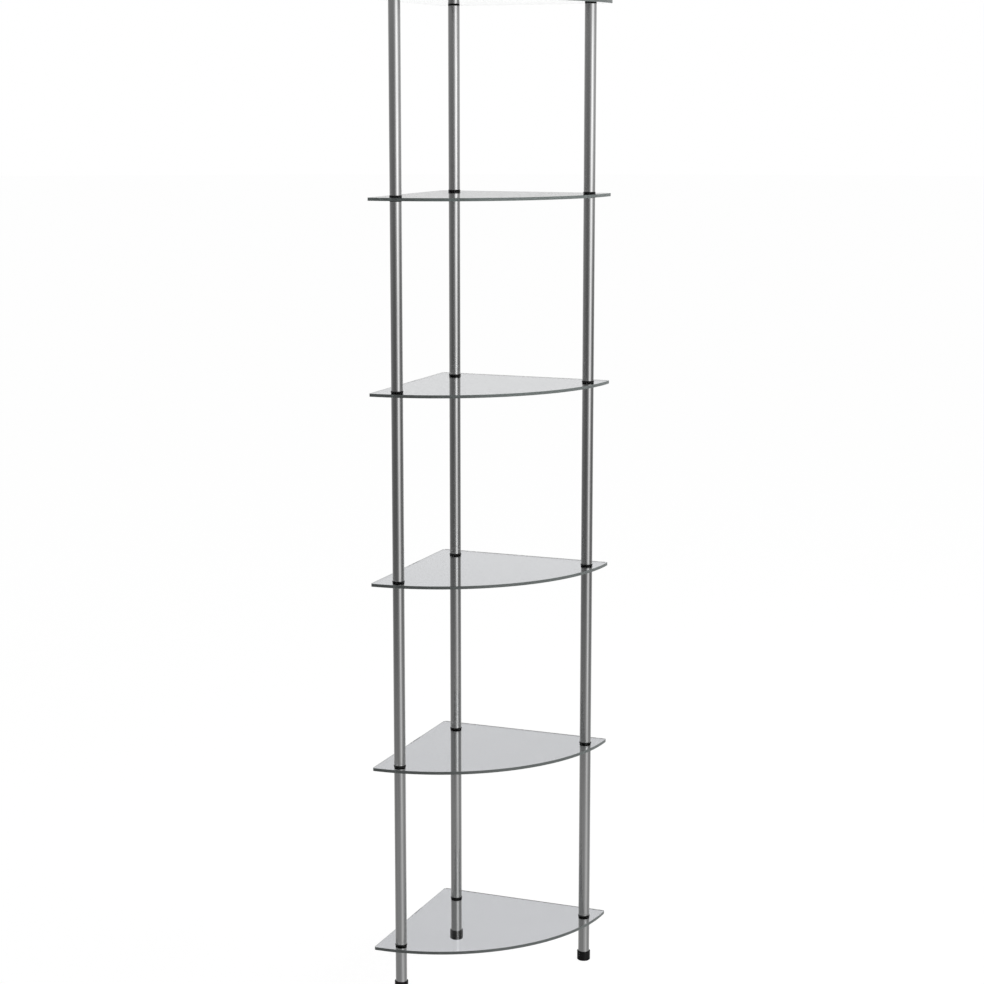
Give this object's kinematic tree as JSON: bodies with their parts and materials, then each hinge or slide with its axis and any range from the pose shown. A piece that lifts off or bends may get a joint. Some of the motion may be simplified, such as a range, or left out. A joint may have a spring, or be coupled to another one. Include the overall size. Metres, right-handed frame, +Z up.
{
  "type": "glass corner shelving unit",
  "caption": "Freestanding corner shelving unit: quarter-round clear glass shelves clamped between lengths of brushed steel tube, on black plastic feet.",
  "frame": {"origin": "on the floor, under the middle of the square that the shelves fill", "axes": "+Z up; the shelves' straight rear edge faces +Y and their straight left edge -X, so the corner of the room is at -X +Y and the round front faces +X -Y"},
  "size_m": [0.3, 0.3, 1.63],
  "materials": {
    "clear_glass": "clear toughened float glass with ground and polished edges",
    "brushed_steel": "stainless tube brushed along its length",
    "black_collar_plastic": "moulded black nylon, satin",
    "black_rubber": "matte black rubber",
    "black_foot_plastic": "moulded black plastic, glossy",
    "zinc_plated_steel": "bright zinc-plated threaded rod",
    "plug_nylon": "moulded natural nylon"
  },
  "bodies": {
    "root": {"foot_rear": "black_foot_plastic", "leg_tube_rear": "brushed_steel", "foot_left": "black_foot_plastic", "leg_tube_left": "brushed_steel", "foot_right": "black_foot_plastic", "leg_tube_right": "brushed_steel", "plugs_under_shelf_1": "plug_nylon", "washers_1": "black_rubber", "glass_shelf_1": "clear_glass", "collars_1": "black_collar_plastic", "studs_1": "zinc_plated_steel", "plugs_over_shelf_1": "plug_nylon", "upright_rear_1": "brushed_steel", "upright_left_1": "brushed_steel", "upright_right_1": "brushed_steel", "plugs_under_shelf_2": "plug_nylon", "washers_2": "black_rubber", "glass_shelf_2": "clear_glass", "collars_2": "black_collar_plastic", "studs_2": "zinc_plated_steel", "plugs_over_shelf_2": "plug_nylon", "upright_rear_2": "brushed_steel", "upright_left_2": "brushed_steel", "upright_right_2": "brushed_steel", "plugs_under_shelf_3": "plug_nylon", "washers_3": "black_rubber", "glass_shelf_3": "clear_glass", "collars_3": "black_collar_plastic", "studs_3": "zinc_plated_steel", "plugs_over_shelf_3": "plug_nylon", "upright_rear_3": "brushed_steel", "upright_left_3": "brushed_steel", "upright_right_3": "brushed_steel", "plugs_under_shelf_4": "plug_nylon", "washers_4": "black_rubber", "glass_shelf_4": "clear_glass", "collars_4": "black_collar_plastic", "studs_4": "zinc_plated_steel", "plugs_over_shelf_4": "plug_nylon", "upright_rear_4": "brushed_steel", "upright_left_4": "brushed_steel", "upright_right_4": "brushed_steel", "plugs_under_shelf_5": "plug_nylon", "washers_5": "black_rubber", "glass_shelf_5": "clear_glass", "collars_5": "black_collar_plastic", "studs_5": "zinc_plated_steel", "plugs_over_shelf_5": "plug_nylon", "upright_rear_5": "brushed_steel", "upright_left_5": "brushed_steel", "upright_right_5": "brushed_steel", "plugs_under_shelf_6": "plug_nylon", "washers_6": "black_rubber", "glass_shelf_6": "clear_glass", "collars_6": "black_collar_plastic", "studs_6": "zinc_plated_steel", "cap_rear": "brushed_steel", "cap_left": "brushed_steel", "cap_right": "brushed_steel"}
  },
  "joints": []
}
